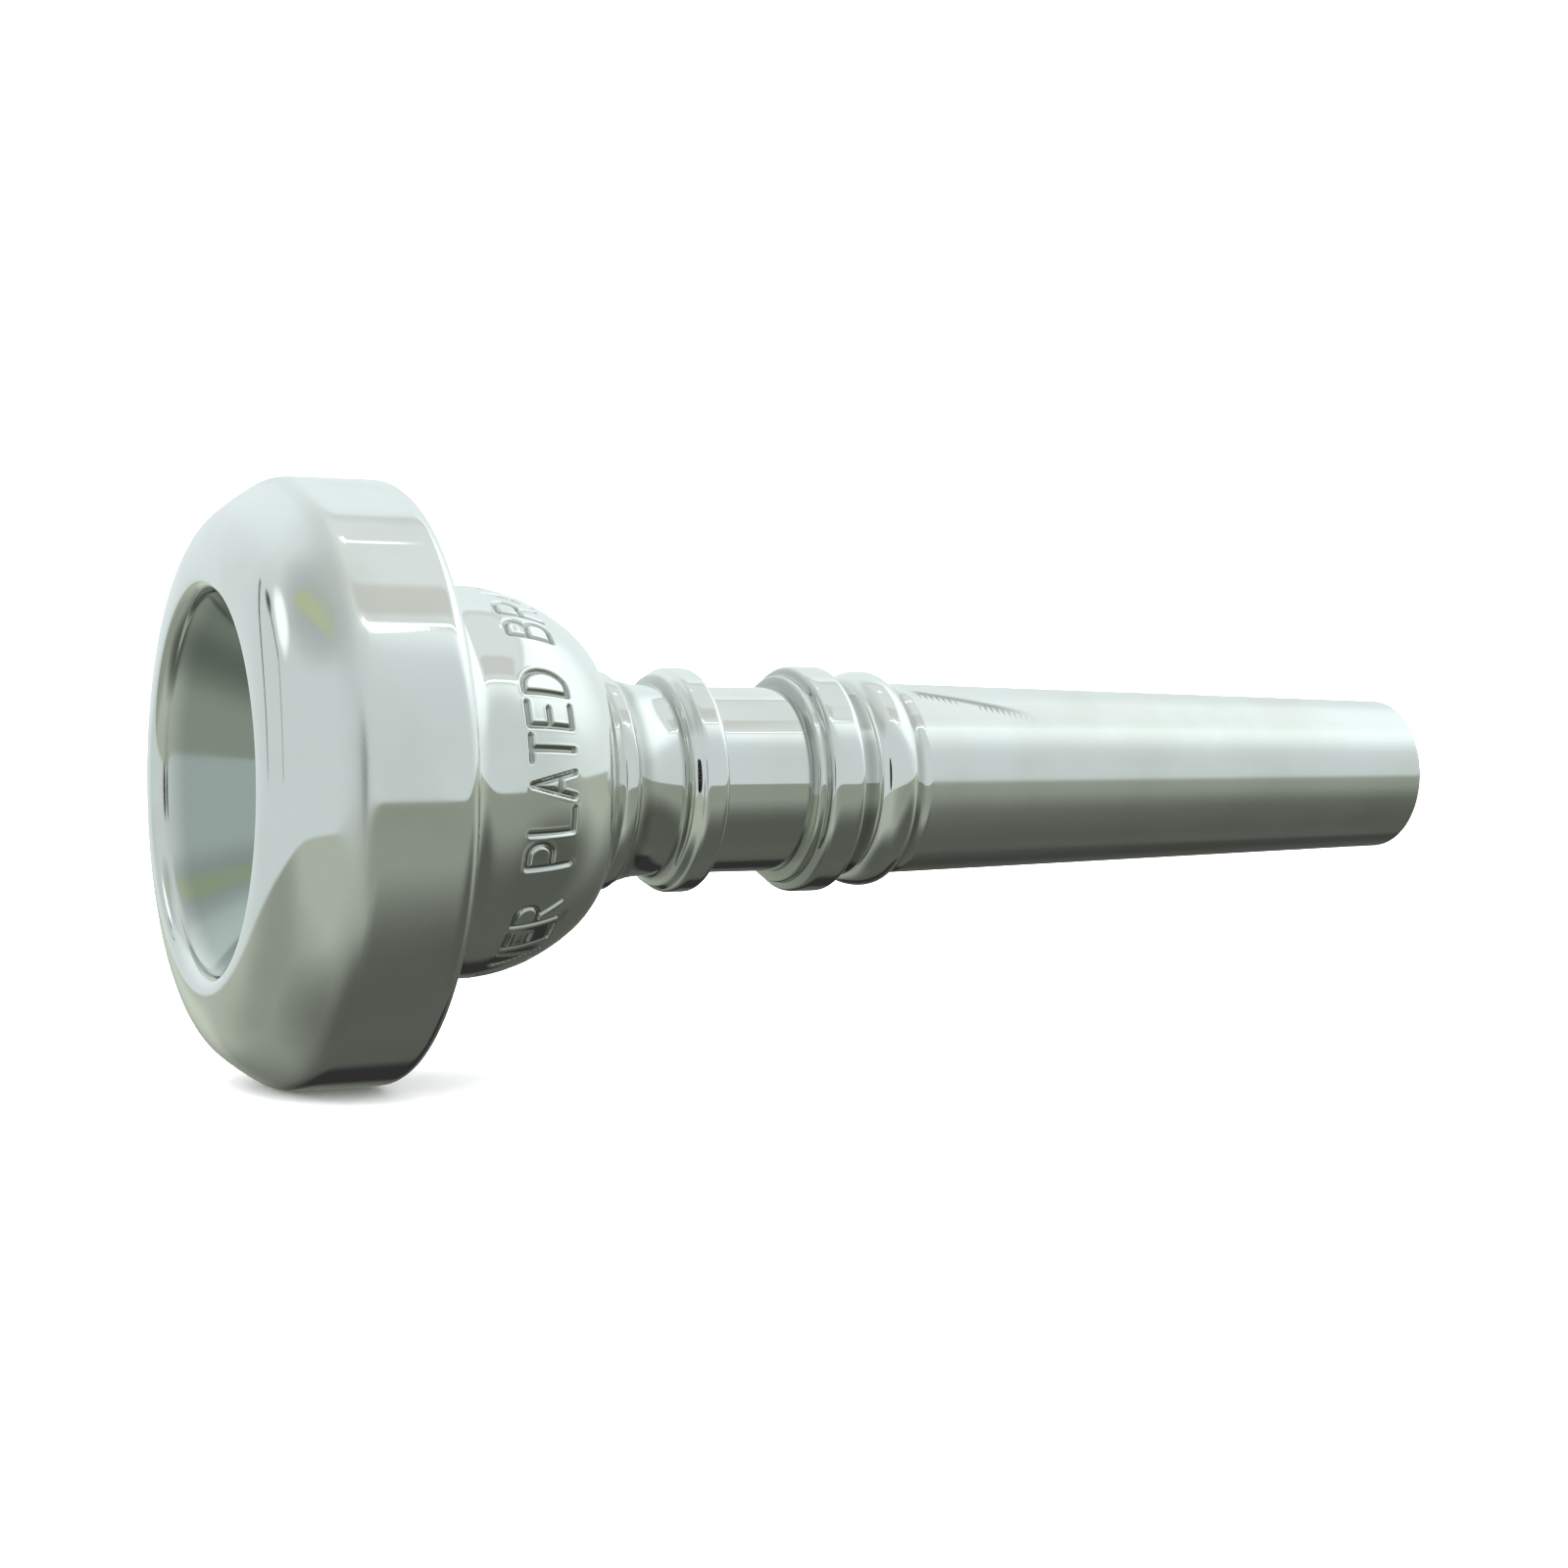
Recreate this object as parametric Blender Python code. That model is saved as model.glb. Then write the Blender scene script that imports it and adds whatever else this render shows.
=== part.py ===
"""Cornet mouthpiece with a screw-on rim and a screw-on backbore, turned from brass and silver plated.

The axis lies along X. The rim faces -X and the shank points to +X. The origin is on the axis at the
gauge plane of the shank, where an instrument's receiver starts. Sizes below are in millimetres. A
station is the distance along the axis from the crest of the rim towards the end of the shank.
"""

import math

import bmesh
import bpy
from mathutils import Vector

MM = 0.001
SEGMENTS = 48
SMOOTH_BELOW = math.radians(32)

# Overall
LENGTH = 64.0
INSERTION = 25.0
GAUGE_STATION = LENGTH - INSERTION
SEAT_GAP = 0.05
THREAD_CLEARANCE = 0.05

# Rim
RIM_RADIUS = 13.5
RIM_CREST_RADIUS = 9.0
RIM_FACE_DEPTH = 2.1
RIM_FACE_HEIGHT = 3.45
RIM_FACE_TURN = 61.3
RIM_CHAMFER_MIDDLE = (1.77, 12.64)
RIM_CHAMFER_END = (2.77, 13.24)
RIM_CHAMFER_CORNER = (3.2, RIM_RADIUS)
RIM_BAND_STATION = 3.7
RIM_EDGE_STATION = 7.5
RIM_EDGE_ROUND = 0.7
RIM_BACK_STATION = 8.6
RIM_BACK_RADIUS = 11.9
BITE_DEPTH = 0.7
BITE_RADIUS = 8.4
RIM_SEAT_STATION = 5.0
RIM_SOCKET_RADIUS = 10.0
THREAD_CHAMFER = 0.3

# Cup: its boss screws into the rim, and its spigot into the backbore
BOSS_RADIUS = RIM_SOCKET_RADIUS - THREAD_CLEARANCE
COLLAR_RADIUS = 10.7
FILLET_RADIUS = 1.45
BOWL_START = 10.4
BOWL_CENTRE = 11.32
BOWL_RADIUS = 8.93
BOWL_HALF_LENGTH = 8.55
SHOULDER_STATION = 16.3
CREASE_STATION = 17.5
CREASE_RADIUS = 5.1
SPIGOT_RADIUS = 3.4
SPIGOT_END = 24.0
CUP_SLOPE = 0.62
CUP_CURVE = 0.012
THROAT_RADIUS = 1.83
THROAT_ENTRY_STATION = 8.4
THROAT_STATION = 11.5

# Backbore: neck, three beads and the tapered shank
SOCKET_RADIUS = SPIGOT_RADIUS + THREAD_CLEARANCE
SOCKET_END = SPIGOT_END + 0.1
FRONT_RADIUS = 4.8
RIDGE_STATION = 18.6
RIDGE_RADIUS = 5.1
NECK_STATION = 20.9
NECK_RADIUS = 4.48
BEAD_1 = (21.35, 23.15)
BEAD_1_RADIUS = 5.29
BARREL_RADIUS = 4.4
STEP_STATION = 27.7
STEP_RADIUS = 4.97
BEAD_2 = (28.25, 30.15)
BEAD_2_RADIUS = 5.42
NOTCH_RADIUS = 4.72
BEAD_3 = (31.15, 33.15)
BEAD_3_RADIUS = 5.22
GROOVE_STATION = 33.55
GROOVE_RADIUS = 4.55
SHANK_STATION = 33.95
SHANK_RADIUS = 4.64
SHANK_TAPER = 1 / 20
END_ROUND = 0.2
BACKBORE_START_RADIUS = 1.9
BACKBORE_END_RADIUS = 3.1
BACKBORE_CURVE = 0.8

SILVER = (0.86, 0.87, 0.86)


def clear_scene():
    for obj in list(bpy.data.objects):
        bpy.data.objects.remove(obj, do_unlink=True)


def ellipse(centre, half_length, half_height, start, end, steps):
    """Points on an ellipse, for angles in degrees from the outward radial direction towards +X."""
    points = []
    for i in range(steps + 1):
        angle = math.radians(start + (end - start) * i / steps)
        points.append((centre[0] + half_length * math.sin(angle), centre[1] + half_height * math.cos(angle)))
    return points


def arc(centre, radius, start, end, steps):
    return ellipse(centre, radius, radius, start, end, steps)


def bend(start, corner, end, steps):
    """A quadratic curve from start to end that leaves towards corner and arrives from it."""
    points = []
    for i in range(steps + 1):
        t = i / steps
        weights = ((1 - t) ** 2, 2 * t * (1 - t), t * t)
        points.append(tuple(
            weights[0] * a + weights[1] * b + weights[2] * c for a, b, c in zip(start, corner, end)
        ))
    return points


def bead(span, crest, before, after, rounding, steps):
    """A turned bead over the two stations of span, which rises from one radius and falls to another."""
    front, back = span
    return (
        [(front, before)]
        + arc((front + rounding, crest - rounding), rounding, -90, 0, steps)
        + arc((back - rounding, crest - rounding), rounding, 0, 90, steps)
        + [(back, after)]
    )


def bowl_radius(station):
    return BOWL_RADIUS * math.sqrt(1 - ((station - BOWL_CENTRE) / BOWL_HALF_LENGTH) ** 2)


def bowl_slope(station):
    return -((BOWL_RADIUS / BOWL_HALF_LENGTH) ** 2) * (station - BOWL_CENTRE) / bowl_radius(station)


def hollow_radius(station):
    depth = station - BITE_DEPTH
    return BITE_RADIUS - CUP_SLOPE * depth - CUP_CURVE * depth**2


def hollow(start, end, steps):
    """Points on the wall of the cup's hollow from one station to another."""
    stations = [start + (end - start) * i / steps for i in range(steps + 1)]
    return [(station, hollow_radius(station)) for station in stations]


def rim_outline():
    """The rim: rounded face, grip band, back face, threaded socket and bite, as a closed loop."""
    crest = ellipse(
        (RIM_FACE_DEPTH, RIM_CREST_RADIUS), RIM_FACE_DEPTH, RIM_FACE_HEIGHT, -90, RIM_FACE_TURN - 90, 6
    )
    face = bend(crest[-1], RIM_CHAMFER_MIDDLE, RIM_CHAMFER_END, 3)
    face += bend(RIM_CHAMFER_END, RIM_CHAMFER_CORNER, (RIM_BAND_STATION, RIM_RADIUS), 3)[1:]
    edge = arc((RIM_EDGE_STATION, RIM_RADIUS - RIM_EDGE_ROUND), RIM_EDGE_ROUND, 0, 75, 4)
    back = [
        (RIM_BACK_STATION, RIM_BACK_RADIUS),
        (RIM_BACK_STATION, RIM_SOCKET_RADIUS + THREAD_CHAMFER),
        (RIM_BACK_STATION - THREAD_CHAMFER, RIM_SOCKET_RADIUS),
    ]
    seat = [(RIM_SEAT_STATION, RIM_SOCKET_RADIUS)]
    wall = hollow(RIM_SEAT_STATION, BITE_DEPTH, 3)
    bite = ellipse(
        (BITE_DEPTH, RIM_CREST_RADIUS), BITE_DEPTH, RIM_CREST_RADIUS - BITE_RADIUS, -180, -90, 6
    )
    return crest + face[1:] + edge + back + seat + wall + bite[1:-1]


def cup_outline():
    """The cup: threaded boss, collar, bowl, threaded spigot, throat and the hollow of the cup."""
    boss_front = RIM_SEAT_STATION + SEAT_GAP
    collar_front = RIM_BACK_STATION + SEAT_GAP
    boss = [
        (boss_front, BOSS_RADIUS - THREAD_CHAMFER),
        (boss_front + THREAD_CHAMFER, BOSS_RADIUS),
        (collar_front, BOSS_RADIUS),
        (collar_front, COLLAR_RADIUS),
        (BOWL_START - FILLET_RADIUS, COLLAR_RADIUS),
    ]
    fillet = arc((BOWL_START, BOWL_RADIUS + FILLET_RADIUS), FILLET_RADIUS, -90, -180, 5)
    sweep = math.degrees(math.asin((SHOULDER_STATION - BOWL_CENTRE) / BOWL_HALF_LENGTH))
    bowl = ellipse((BOWL_CENTRE, 0), BOWL_HALF_LENGTH, BOWL_RADIUS, 0, sweep, 8)
    corner = bowl_radius(SHOULDER_STATION) + bowl_slope(SHOULDER_STATION) * (CREASE_STATION - SHOULDER_STATION)
    shoulder = bend(bowl[-1], (CREASE_STATION, corner), (CREASE_STATION, CREASE_RADIUS), 6)
    spigot = [
        (CREASE_STATION, SPIGOT_RADIUS),
        (SPIGOT_END - THREAD_CHAMFER, SPIGOT_RADIUS),
        (SPIGOT_END, SPIGOT_RADIUS - THREAD_CHAMFER),
        (SPIGOT_END, THROAT_RADIUS),
    ]
    wall = hollow(THROAT_ENTRY_STATION, boss_front, 8)
    entry = wall[0]
    slope = CUP_SLOPE + 2 * CUP_CURVE * (entry[0] - BITE_DEPTH)
    throat_corner = (entry[0] + (entry[1] - THROAT_RADIUS) / slope, THROAT_RADIUS)
    throat = bend((THROAT_STATION, THROAT_RADIUS), throat_corner, entry, 5)
    return boss + fillet + bowl[1:] + shoulder[1:] + spigot + throat + wall[1:]


def backbore_outline():
    """The backbore: socket, neck ridge, beads, tapered shank and the bore that widens to the end."""
    front = CREASE_STATION + SEAT_GAP
    ridge = bend((front, FRONT_RADIUS), (RIDGE_STATION - 0.5, RIDGE_RADIUS - 0.1), (RIDGE_STATION, RIDGE_RADIUS), 3)
    neck = bend((RIDGE_STATION, RIDGE_RADIUS), (RIDGE_STATION + 0.8, NECK_RADIUS), (NECK_STATION, NECK_RADIUS), 5)
    barrel = [(STEP_STATION, BARREL_RADIUS), (STEP_STATION + 0.1, STEP_RADIUS)]
    beads = (
        bead(BEAD_1, BEAD_1_RADIUS, NECK_RADIUS, BARREL_RADIUS, 0.3, 3)
        + barrel
        + bead(BEAD_2, BEAD_2_RADIUS, STEP_RADIUS, NOTCH_RADIUS, 0.3, 3)
        + bead(BEAD_3, BEAD_3_RADIUS, NOTCH_RADIUS, GROOVE_RADIUS, 0.5, 4)
    )
    end_radius = SHANK_RADIUS - SHANK_TAPER / 2 * (LENGTH - SHANK_STATION)
    shank = [(GROOVE_STATION, GROOVE_RADIUS), (SHANK_STATION, SHANK_RADIUS)]
    end = arc((LENGTH - END_ROUND, end_radius - END_ROUND), END_ROUND, 0, 90, 3)
    bore = []
    for i in range(9):
        t = 1 - i / 8
        radius = BACKBORE_START_RADIUS + (BACKBORE_END_RADIUS - BACKBORE_START_RADIUS) * t**BACKBORE_CURVE
        bore.append((SOCKET_END + (LENGTH - SOCKET_END) * t, radius))
    socket = [
        (SOCKET_END, SOCKET_RADIUS),
        (front + THREAD_CHAMFER, SOCKET_RADIUS),
        (front, SOCKET_RADIUS + THREAD_CHAMFER),
    ]
    return ridge + neck[1:] + beads + shank + end + bore + socket


def silver_material(name, roughness):
    material = bpy.data.materials.new(name)
    material.use_nodes = True
    shader = material.node_tree.nodes["Principled BSDF"]
    shader.inputs["Base Color"].default_value = (*SILVER, 1.0)
    shader.inputs["Metallic"].default_value = 1.0
    shader.inputs["Roughness"].default_value = roughness
    material.diffuse_color = (*SILVER, 1.0)
    return material


def turn(name, outline, roughness):
    """Spins a closed outline of (station, radius) points about the axis into a solid."""
    mesh = bpy.data.meshes.new(name)
    shape = bmesh.new()
    corners = [
        shape.verts.new(((station - GAUGE_STATION) * MM, 0, radius * MM)) for station, radius in outline
    ]
    edges = [shape.edges.new((a, b)) for a, b in zip(corners, corners[1:] + corners[:1])]
    bmesh.ops.spin(
        shape,
        geom=corners + edges,
        cent=Vector((0, 0, 0)),
        axis=Vector((1, 0, 0)),
        angle=2 * math.pi,
        steps=SEGMENTS,
        use_merge=True,
    )
    bmesh.ops.recalc_face_normals(shape, faces=shape.faces)
    shape.to_mesh(mesh)
    shape.free()
    mesh.shade_smooth()
    mesh.set_sharp_from_angle(angle=SMOOTH_BELOW)
    obj = bpy.data.objects.new(name, mesh)
    mesh.materials.append(silver_material(name, roughness))
    bpy.context.scene.collection.objects.link(obj)
    return obj


clear_scene()
turn("rim", rim_outline(), roughness=0.08)
turn("cup", cup_outline(), roughness=0.08)
turn("backbore", backbore_outline(), roughness=0.12)
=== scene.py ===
"""The looks of the silver-plated cornet mouthpiece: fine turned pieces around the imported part.

Each piece is turned from a closed outline of (station, radius) points in millimetres. A station is
the distance along the axis from the crest of the rim towards the end of the shank. The origin is on
the axis at the gauge plane of the shank, the rim faces -X, and +Z is up.
"""

import math

import bmesh
import bpy
import numpy as np
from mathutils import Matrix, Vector


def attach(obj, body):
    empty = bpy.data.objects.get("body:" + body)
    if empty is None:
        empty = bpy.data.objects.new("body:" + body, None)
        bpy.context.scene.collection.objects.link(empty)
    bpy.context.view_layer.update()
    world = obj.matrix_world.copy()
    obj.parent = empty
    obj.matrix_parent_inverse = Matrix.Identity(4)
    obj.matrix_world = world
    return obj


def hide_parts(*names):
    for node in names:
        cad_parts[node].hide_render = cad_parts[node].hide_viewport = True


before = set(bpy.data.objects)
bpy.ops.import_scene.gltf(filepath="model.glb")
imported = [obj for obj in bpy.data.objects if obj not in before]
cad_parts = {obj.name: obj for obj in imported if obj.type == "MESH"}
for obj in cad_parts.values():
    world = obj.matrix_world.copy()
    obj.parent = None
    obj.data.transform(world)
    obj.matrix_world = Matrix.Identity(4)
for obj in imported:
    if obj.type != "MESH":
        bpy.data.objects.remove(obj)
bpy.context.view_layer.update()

MM = 0.001

# Overall
LENGTH = 64.0
INSERTION = 25.0
GAUGE_STATION = LENGTH - INSERTION
SEAT_GAP = 0.05
THREAD_CLEARANCE = 0.05

# Rim
RIM_RADIUS = 13.5
RIM_CREST_RADIUS = 9.0
RIM_FACE_DEPTH = 2.1
RIM_FACE_HEIGHT = 3.45
RIM_FACE_TURN = 61.3
RIM_CHAMFER_MIDDLE = (1.77, 12.64)
RIM_CHAMFER_END = (2.77, 13.24)
RIM_CHAMFER_CORNER = (3.2, RIM_RADIUS)
RIM_BAND_STATION = 3.7
RIM_EDGE_STATION = 7.5
RIM_EDGE_ROUND = 0.7
RIM_BACK_STATION = 8.6
RIM_BACK_RADIUS = 11.9
BITE_DEPTH = 0.7
BITE_RADIUS = 8.4
RIM_SEAT_STATION = 5.0
RIM_SOCKET_RADIUS = 10.0

# Cup
BOSS_RADIUS = RIM_SOCKET_RADIUS - THREAD_CLEARANCE
COLLAR_RADIUS = 10.7
FILLET_RADIUS = 1.45
BOWL_START = 10.4
BOWL_CENTRE = 11.32
BOWL_RADIUS = 8.93
BOWL_HALF_LENGTH = 8.55
SHOULDER_STATION = 16.3
CREASE_STATION = 17.5
CREASE_RADIUS = 5.1
SPIGOT_RADIUS = 3.4
SPIGOT_END = 24.0
CUP_SLOPE = 0.62
CUP_CURVE = 0.012
THROAT_RADIUS = 1.83
THROAT_ENTRY_STATION = 8.4
THROAT_STATION = 11.5

# Backbore
SOCKET_RADIUS = SPIGOT_RADIUS + THREAD_CLEARANCE
SOCKET_END = SPIGOT_END + 0.1
FRONT_RADIUS = 4.8
RIDGE_STATION = 18.6
RIDGE_RADIUS = 5.1
NECK_STATION = 20.9
NECK_RADIUS = 4.48
BARREL_RADIUS = 4.4
BEAD_1_FOOT = ((21.05, NECK_RADIUS), (21.35, NECK_RADIUS), (21.42, 4.92))
BEAD_1_LIP = ((21.5, 5.0), (21.78, 5.13))
BEAD_1_CREST = ((21.82, 5.17), (21.9, 5.29), (22.1, 5.29))
BEAD_1_BACK = ((22.85, 4.99), 0.3)
BEAD_1_END = (23.15, BARREL_RADIUS)
BEAD_2_LIP = ((27.7, BARREL_RADIUS), (27.8, 4.9), (27.9, 4.96), (28.2, 4.97))
BEAD_2_CREST = ((28.28, 5.22), (28.36, 5.42), (28.7, 5.42))
BEAD_2_BACK = ((29.8, 5.07), 0.35)
BEAD_3_LEDGE = ((30.15, 4.72), (31.12, 4.72))
BEAD_3_FRONT = ((32.35, 4.52), 1.2, 0.7)
BEAD_3_BACK = ((32.35, 4.72), 0.8, 0.5)
BEAD_3_END = 33.25
GROOVE_STATION = 33.55
GROOVE_RADIUS = 4.55
SHANK_STATION = 33.95
SHANK_RADIUS = 4.64
SHANK_TAPER = 1 / 20
END_ROUND = 0.2
BACKBORE_START_RADIUS = 1.9
BACKBORE_END_RADIUS = 3.1
BACKBORE_CURVE = 0.8
BACKBORE_STEPS = 30

# Screw threads, cut below the male crests and beyond the female ones
THREAD_CHAMFER = 0.3
RIM_THREAD = {"pitch": 0.8, "depth": 0.42, "span": (RIM_SEAT_STATION + 0.5, RIM_BACK_STATION - 0.45)}
NECK_THREAD = {"pitch": 0.7, "depth": 0.34, "span": (CREASE_STATION + 0.9, SPIGOT_END - 0.4)}
THREAD_STEP = 0.085
THREAD_FADE = 0.4
THREAD_REACH = 0.1
THREAD_CREST = 0.02
THREAD_FLANK = (0.15, 0.85)

# Mesh fineness
SAMPLE = 0.02
TURN_STEP = math.radians(7.5)
LONGEST_STEP = 1.2
GRADING = 0.35
RIM_POLISH = 0.3
CUP_POLISH = 0.2
BACKBORE_POLISH = 0.16
RIM_COLUMNS = 256
CUP_COLUMNS = 176
BACKBORE_COLUMNS = 160

# Stamped words round the cup
WORDS = "SILVER PLATED BRASS"
LETTER_PITCH = math.radians(10.2)
LETTER_SPAN = (12.05, 14.2)
LETTER_WIDTH = 1.1
LETTER_MARGIN = 0.3
LETTER_STEP = 0.2
STAMPED_RADII = (8, 9)
STROKE_FLAT = 0.05
STROKE_EDGE = 0.17
STAMP_DEPTH = 0.15
STAMP_LIP = 0.015
STAMP_LIP_GAP = 0.03
STAMP_LIP_WIDTH = 0.05
STAMP_CUTS = 4
BOWL_REACH = 0.05
STAMP_MARK = "stamp"


def ellipse(centre, half_length, half_height, start, end, steps):
    """Points on an ellipse, for angles in degrees from the outward radial direction towards +X."""
    points = []
    for i in range(steps + 1):
        angle = math.radians(start + (end - start) * i / steps)
        points.append((centre[0] + half_length * math.sin(angle), centre[1] + half_height * math.cos(angle)))
    return points


def arc(centre, radius, start, end, steps=16):
    return ellipse(centre, radius, radius, start, end, steps)


def bend(start, corner, end, steps=16):
    """A quadratic curve from start to end that leaves towards corner and arrives from it."""
    points = []
    for i in range(steps + 1):
        t = i / steps
        weights = ((1 - t) ** 2, 2 * t * (1 - t), t * t)
        points.append(tuple(
            weights[0] * a + weights[1] * b + weights[2] * c for a, b, c in zip(start, corner, end)
        ))
    return points


def bowl_radius(station):
    return BOWL_RADIUS * np.sqrt(1 - ((station - BOWL_CENTRE) / BOWL_HALF_LENGTH) ** 2)


def bowl_slope(station):
    return -((BOWL_RADIUS / BOWL_HALF_LENGTH) ** 2) * (station - BOWL_CENTRE) / bowl_radius(station)


def hollow_radius(station):
    depth = station - BITE_DEPTH
    return BITE_RADIUS - CUP_SLOPE * depth - CUP_CURVE * depth**2


def hollow(start, end, steps):
    """Points on the wall of the cup's hollow from one station to another."""
    stations = [start + (end - start) * i / steps for i in range(steps + 1)]
    return [(station, hollow_radius(station)) for station in stations]


def rim_outline():
    crest = ellipse(
        (RIM_FACE_DEPTH, RIM_CREST_RADIUS), RIM_FACE_DEPTH, RIM_FACE_HEIGHT, -90, RIM_FACE_TURN - 90, 50
    )
    face = bend(crest[-1], RIM_CHAMFER_MIDDLE, RIM_CHAMFER_END, 20)
    face += bend(RIM_CHAMFER_END, RIM_CHAMFER_CORNER, (RIM_BAND_STATION, RIM_RADIUS), 20)[1:]
    edge = arc((RIM_EDGE_STATION, RIM_RADIUS - RIM_EDGE_ROUND), RIM_EDGE_ROUND, 0, 75)
    back = [
        (RIM_BACK_STATION, RIM_BACK_RADIUS),
        (RIM_BACK_STATION, RIM_SOCKET_RADIUS + THREAD_CHAMFER),
        (RIM_BACK_STATION - THREAD_CHAMFER, RIM_SOCKET_RADIUS),
    ]
    seat = [(RIM_SEAT_STATION, RIM_SOCKET_RADIUS)]
    wall = hollow(RIM_SEAT_STATION, BITE_DEPTH, 20)
    bite = ellipse(
        (BITE_DEPTH, RIM_CREST_RADIUS), BITE_DEPTH, RIM_CREST_RADIUS - BITE_RADIUS, -180, -90, 40
    )
    return crest + face[1:] + edge + back + seat + wall + bite[1:-1]


def cup_outline():
    boss_front = RIM_SEAT_STATION + SEAT_GAP
    collar_front = RIM_BACK_STATION + SEAT_GAP
    boss = [
        (boss_front, BOSS_RADIUS - THREAD_CHAMFER),
        (boss_front + THREAD_CHAMFER, BOSS_RADIUS),
        (collar_front, BOSS_RADIUS),
        (collar_front, COLLAR_RADIUS),
        (BOWL_START - FILLET_RADIUS, COLLAR_RADIUS),
    ]
    fillet = arc((BOWL_START, BOWL_RADIUS + FILLET_RADIUS), FILLET_RADIUS, -90, -180)
    sweep = math.degrees(math.asin((SHOULDER_STATION - BOWL_CENTRE) / BOWL_HALF_LENGTH))
    bowl = ellipse((BOWL_CENTRE, 0), BOWL_HALF_LENGTH, BOWL_RADIUS, 0, sweep, 80)
    drop = bowl_slope(SHOULDER_STATION) * (CREASE_STATION - SHOULDER_STATION)
    corner = bowl_radius(SHOULDER_STATION) + drop
    shoulder = bend(bowl[-1], (CREASE_STATION, corner), (CREASE_STATION, CREASE_RADIUS), 30)
    spigot = [
        (CREASE_STATION, SPIGOT_RADIUS),
        (SPIGOT_END - THREAD_CHAMFER, SPIGOT_RADIUS),
        (SPIGOT_END, SPIGOT_RADIUS - THREAD_CHAMFER),
        (SPIGOT_END, THROAT_RADIUS),
    ]
    wall = hollow(THROAT_ENTRY_STATION, boss_front, 40)
    entry = wall[0]
    slope = CUP_SLOPE + 2 * CUP_CURVE * (entry[0] - BITE_DEPTH)
    throat_corner = (entry[0] + (entry[1] - THROAT_RADIUS) / slope, THROAT_RADIUS)
    throat = bend((THROAT_STATION, THROAT_RADIUS), throat_corner, entry, 30)
    return boss + fillet + bowl[1:] + shoulder[1:] + spigot + throat + wall[1:]


def backbore_outline():
    front = CREASE_STATION + SEAT_GAP
    ridge = [(front, FRONT_RADIUS - 0.1), (front + 0.15, FRONT_RADIUS)]
    ridge_top = (RIDGE_STATION, RIDGE_RADIUS)
    ridge += bend((RIDGE_STATION - 0.55, RIDGE_RADIUS - 0.06), (RIDGE_STATION - 0.4, RIDGE_RADIUS), ridge_top)
    neck = bend(ridge_top, (RIDGE_STATION + 0.8, NECK_RADIUS), (NECK_STATION, NECK_RADIUS), 40)
    bead_1 = bend(*BEAD_1_FOOT) + [*BEAD_1_LIP] + bend(*BEAD_1_CREST)
    bead_1 += arc(*BEAD_1_BACK, 0, 90) + [BEAD_1_END]
    bead_2 = [*BEAD_2_LIP] + bend(*BEAD_2_CREST) + arc(*BEAD_2_BACK, 0, 90)
    bead_3 = [*BEAD_3_LEDGE] + ellipse(*BEAD_3_FRONT, -80, 0, 40) + ellipse(*BEAD_3_BACK, 0, 80, 30)
    groove = [(BEAD_3_END, GROOVE_RADIUS), (GROOVE_STATION, GROOVE_RADIUS)]
    end_radius = SHANK_RADIUS - SHANK_TAPER / 2 * (LENGTH - SHANK_STATION)
    shank = [(SHANK_STATION, SHANK_RADIUS)]
    end = arc((LENGTH - END_ROUND, end_radius - END_ROUND), END_ROUND, 0, 90)
    bore = []
    for i in range(BACKBORE_STEPS + 1):
        t = 1 - i / BACKBORE_STEPS
        radius = BACKBORE_START_RADIUS + (BACKBORE_END_RADIUS - BACKBORE_START_RADIUS) * t**BACKBORE_CURVE
        bore.append((SOCKET_END + (LENGTH - SOCKET_END) * t, radius))
    socket = [
        (SOCKET_END, SOCKET_RADIUS),
        (front + THREAD_CHAMFER, SOCKET_RADIUS),
        (front, SOCKET_RADIUS + THREAD_CHAMFER),
    ]
    return ridge + neck[1:] + bead_1 + bead_2 + bead_3 + groove + shank + end + bore + socket


def inside(points, box):
    """Which (station, radius) points lie in ((first station, last station), (lowest, highest radius))."""
    stations, radii = box
    return (
        (points[:, 0] > stations[0]) & (points[:, 0] < stations[1])
        & (points[:, 1] > radii[0]) & (points[:, 1] < radii[1])
    )


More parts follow.
